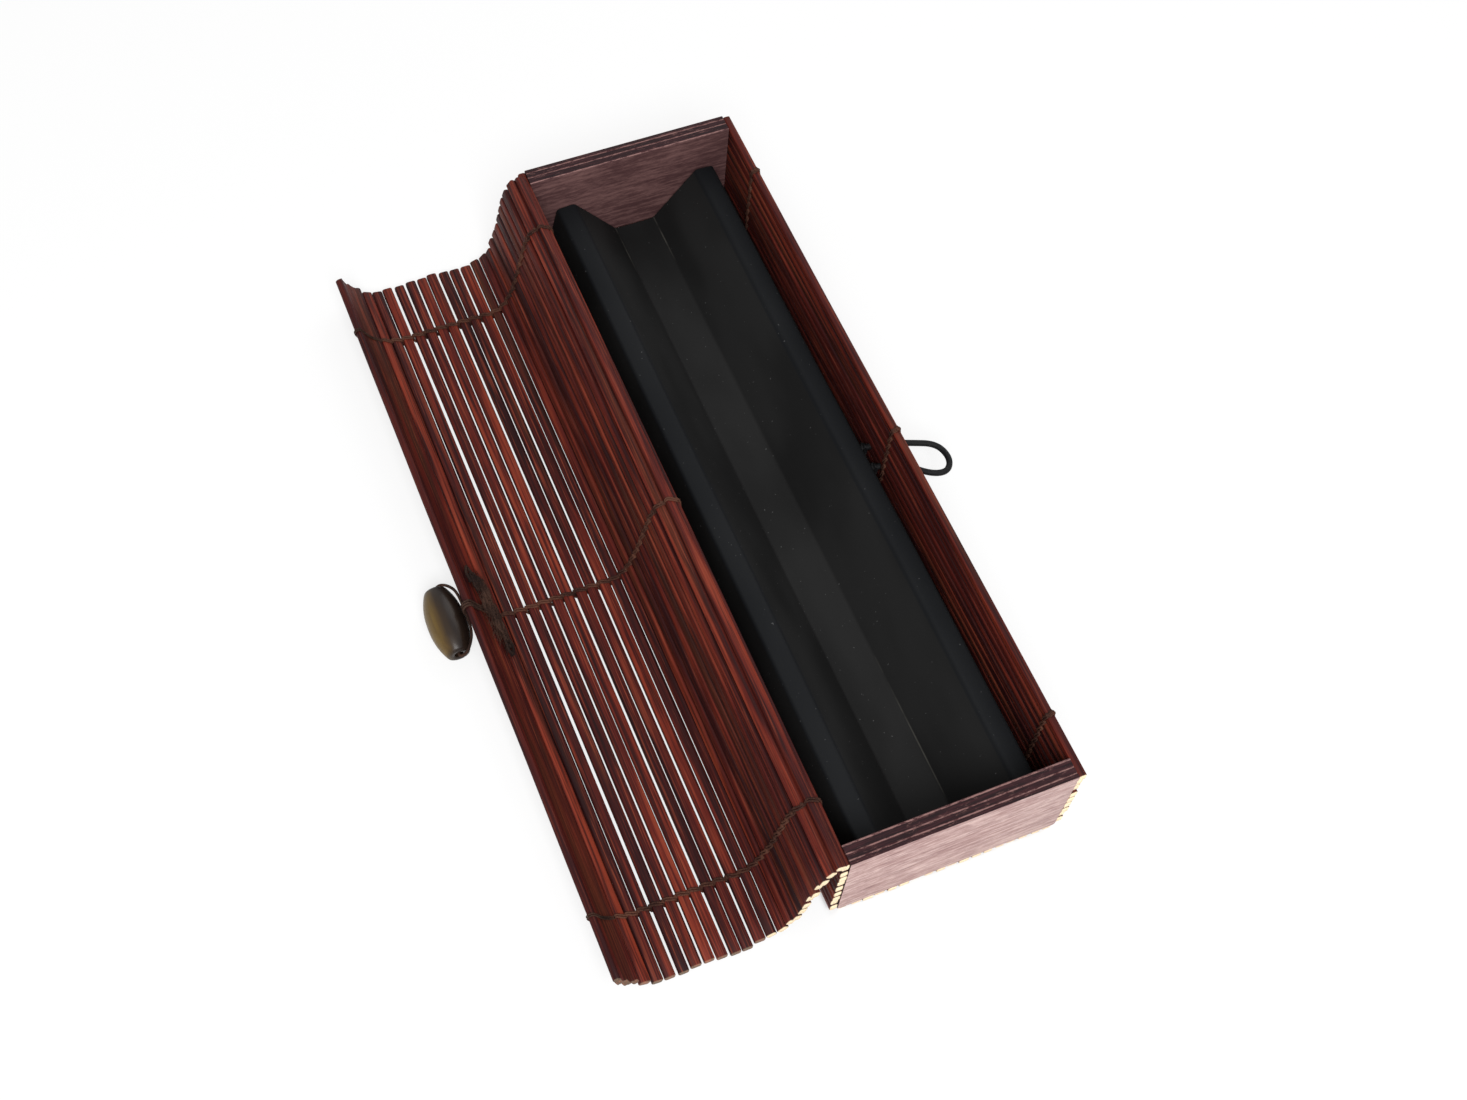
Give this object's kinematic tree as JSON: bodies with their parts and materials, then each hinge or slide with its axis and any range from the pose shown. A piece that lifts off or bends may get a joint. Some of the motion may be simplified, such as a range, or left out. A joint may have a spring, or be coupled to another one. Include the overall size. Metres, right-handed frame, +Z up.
{
  "type": "tambour lid box",
  "caption": "Slim bamboo slat keepsake box with plywood end boards, a roll-over slatted lid sewn with thread, a toggle and elastic loop catch, and a folded card cradle.",
  "frame": {"origin": "on the plane that the box stands on, at the middle of the box's width and at the middle row of thread", "axes": "+X runs across the box from the hinge wall to the wall with the loop, +Y runs along it towards the far end board, +Z is up; the lid lies open on the -X side"},
  "size_m": [0.1281, 0.191, 0.0295],
  "materials": {
    "end_board_ply": "thin stain over birch-like ply, dull",
    "box_slats": "red-brown stained bamboo, low sheen",
    "lid_slats": "red-brown stained bamboo, low sheen",
    "sewing_thread": "twisted brown thread",
    "tie_cord": "soft grey-brown cord",
    "black_card": "smooth black card",
    "elastic_cord": "braided black elastic",
    "toggle_bead": "polished olive-brown bead"
  },
  "bodies": {
    "box": {"end_board_near": "end_board_ply", "end_board_far": "end_board_ply", "hinge_wall_slats": "box_slats", "loop_wall_slats": "box_slats", "bottom_slats": "box_slats", "box_thread_far": "sewing_thread", "box_thread_middle": "sewing_thread", "box_thread_near": "sewing_thread", "card_cradle": "black_card", "loop_knot": "elastic_cord"},
    "lid_01": {"lid_slat_01": "lid_slats", "lid_thread_01": "sewing_thread"},
    "lid_02": {"lid_slat_02": "lid_slats", "lid_thread_02": "sewing_thread"},
    "lid_03": {"lid_slat_03": "lid_slats", "lid_thread_03": "sewing_thread"},
    "lid_04": {"lid_slat_04": "lid_slats", "lid_thread_04": "sewing_thread"},
    "lid_05": {"lid_slat_05": "lid_slats", "lid_thread_05": "sewing_thread"},
    "lid_06": {"lid_slat_06": "lid_slats", "lid_thread_06": "sewing_thread"},
    "lid_07": {"lid_slat_07": "lid_slats", "lid_thread_07": "sewing_thread"},
    "lid_08": {"lid_slat_08": "lid_slats", "lid_thread_08": "sewing_thread"},
    "lid_09": {"lid_slat_09": "lid_slats", "lid_thread_09": "sewing_thread"},
    "lid_10": {"lid_slat_10": "lid_slats", "lid_thread_10": "sewing_thread"},
    "lid_11": {"lid_slat_11": "lid_slats", "lid_thread_11": "sewing_thread"},
    "lid_12": {"lid_slat_12": "lid_slats", "lid_thread_12": "sewing_thread"},
    "lid_13": {"lid_slat_13": "lid_slats", "lid_thread_13": "sewing_thread"},
    "lid_14": {"lid_slat_14": "lid_slats", "lid_thread_14": "sewing_thread"},
    "lid_15": {"lid_slat_15": "lid_slats", "lid_thread_15": "sewing_thread"},
    "lid_16": {"lid_slat_16": "lid_slats", "lid_thread_16": "sewing_thread"},
    "lid_17": {"lid_slat_17": "lid_slats", "lid_thread_17": "sewing_thread"},
    "lid_18": {"lid_slat_18": "lid_slats", "lid_thread_18": "sewing_thread"},
    "lid_19": {"lid_slat_19": "lid_slats", "lid_thread_19": "sewing_thread"},
    "lid_20": {"lid_slat_20": "lid_slats", "lid_thread_20": "sewing_thread"},
    "lid_21": {"lid_slat_21": "lid_slats", "lid_thread_21": "sewing_thread"},
    "lid_22": {"lid_slat_22": "lid_slats", "lid_thread_22": "sewing_thread"},
    "lid_end": {"lid_end_slat": "lid_slats", "lid_end_thread": "sewing_thread", "toggle_tie": "tie_cord", "toggle_cord": "tie_cord"},
    "toggle": {"toggle": "toggle_bead"},
    "loop": {"elastic_loop": "elastic_cord"}
  },
  "joints": [
    {"name": "lid_hinge_01", "type": "hinge", "parent": "box", "child": "lid_01", "pos_m": [-0.0268, 0, 0.02775], "axis": [0, 1, 0], "range_deg": [0, 100]},
    {"name": "lid_hinge_02", "type": "hinge", "parent": "lid_01", "child": "lid_02", "pos_m": [-0.02947, 0, 0.02883], "axis": [0, 1, 0], "range_deg": [0, 140.2]},
    {"name": "lid_hinge_03", "type": "hinge", "parent": "lid_02", "child": "lid_03", "pos_m": [-0.03124, 0, 0.02656], "axis": [0, 1, 0], "range_deg": [0, 20.7]},
    {"name": "lid_hinge_04", "type": "hinge", "parent": "lid_03", "child": "lid_04", "pos_m": [-0.03204, 0, 0.02379], "axis": [0, 1, 0], "range_deg": [0, 1.4]},
    {"name": "lid_hinge_05", "type": "hinge", "parent": "lid_04", "child": "lid_05", "pos_m": [-0.03269, 0, 0.02098], "axis": [0, -1, 0], "range_deg": [0, 0.4]},
    {"name": "lid_hinge_06", "type": "hinge", "parent": "lid_05", "child": "lid_06", "pos_m": [-0.03328, 0, 0.01817], "axis": [0, -1, 0], "range_deg": [0, 1.3]},
    {"name": "lid_hinge_07", "type": "hinge", "parent": "lid_06", "child": "lid_07", "pos_m": [-0.03388, 0, 0.01535], "axis": [0, -1, 0], "range_deg": [0, 2.1]},
    {"name": "lid_hinge_08", "type": "hinge", "parent": "lid_07", "child": "lid_08", "pos_m": [-0.03453, 0, 0.01254], "axis": [0, -1, 0], "range_deg": [0, 3.8]},
    {"name": "lid_hinge_09", "type": "hinge", "parent": "lid_08", "child": "lid_09", "pos_m": [-0.03532, 0, 0.00978], "axis": [0, -1, 0], "range_deg": [0, 3.5]},
    {"name": "lid_hinge_10", "type": "hinge", "parent": "lid_09", "child": "lid_10", "pos_m": [-0.03626, 0, 0.00705], "axis": [0, -1, 0], "range_deg": [0, 5.4]},
    {"name": "lid_hinge_11", "type": "hinge", "parent": "lid_10", "child": "lid_11", "pos_m": [-0.03743, 0, 0.00442], "axis": [0, -1, 0], "range_deg": [0, 18.3]},
    {"name": "lid_hinge_12", "type": "hinge", "parent": "lid_11", "child": "lid_12", "pos_m": [-0.03936, 0, 0.00228], "axis": [0, -1, 0], "range_deg": [0, 26.67]},
    {"name": "lid_hinge_13", "type": "hinge", "parent": "lid_12", "child": "lid_13", "pos_m": [-0.04204, 0, 0.00122], "axis": [0, -1, 0], "range_deg": [0, 21.93]},
    {"name": "lid_hinge_14", "type": "hinge", "parent": "lid_13", "child": "lid_14", "pos_m": [-0.04492, 0, 0.00122], "axis": [0, -1, 0], "range_deg": [-15, 0.3]},
    {"name": "lid_hinge_15", "type": "hinge", "parent": "lid_14", "child": "lid_15", "pos_m": [-0.0478, 0, 0.00122], "axis": [0, -1, 0], "range_deg": [-15, 0.3]},
    {"name": "lid_hinge_16", "type": "hinge", "parent": "lid_15", "child": "lid_16", "pos_m": [-0.05068, 0, 0.00122], "axis": [0, -1, 0], "range_deg": [-15, 0.4]},
    {"name": "lid_hinge_17", "type": "hinge", "parent": "lid_16", "child": "lid_17", "pos_m": [-0.05356, 0, 0.00122], "axis": [0, -1, 0], "range_deg": [-15, 0.4]},
    {"name": "lid_hinge_18", "type": "hinge", "parent": "lid_17", "child": "lid_18", "pos_m": [-0.05644, 0, 0.00122], "axis": [0, -1, 0], "range_deg": [-15, 0.5]},
    {"name": "lid_hinge_19", "type": "hinge", "parent": "lid_18", "child": "lid_19", "pos_m": [-0.05932, 0, 0.00122], "axis": [0, -1, 0], "range_deg": [-15, 0.6]},
    {"name": "lid_hinge_20", "type": "hinge", "parent": "lid_19", "child": "lid_20", "pos_m": [-0.0622, 0, 0.00122], "axis": [0, 1, 0], "range_deg": [0, 18.6]},
    {"name": "lid_hinge_21", "type": "hinge", "parent": "lid_20", "child": "lid_21", "pos_m": [-0.06508, 0, 0.00122], "axis": [0, 1, 0], "range_deg": [0, 13]},
    {"name": "lid_hinge_22", "type": "hinge", "parent": "lid_21", "child": "lid_22", "pos_m": [-0.06789, 0, 0.00182], "axis": [0, 1, 0], "range_deg": [0, 20]},
    {"name": "lid_hinge_end", "type": "hinge", "parent": "lid_22", "child": "lid_end", "pos_m": [-0.07044, 0, 0.00317], "axis": [0, -1, 0], "range_deg": [0, 13]},
    {"name": "toggle_spin", "type": "hinge", "parent": "lid_end", "child": "toggle", "pos_m": [-0.08024, 0, 0.00462], "axis": [0, 1, 0], "continuous": true},
    {"name": "loop_swing", "type": "hinge", "parent": "box", "child": "loop", "pos_m": [0.02875, 0.0044, 0.01065], "axis": [0, 1, 0], "range_deg": [-8, 32]}
  ]
}
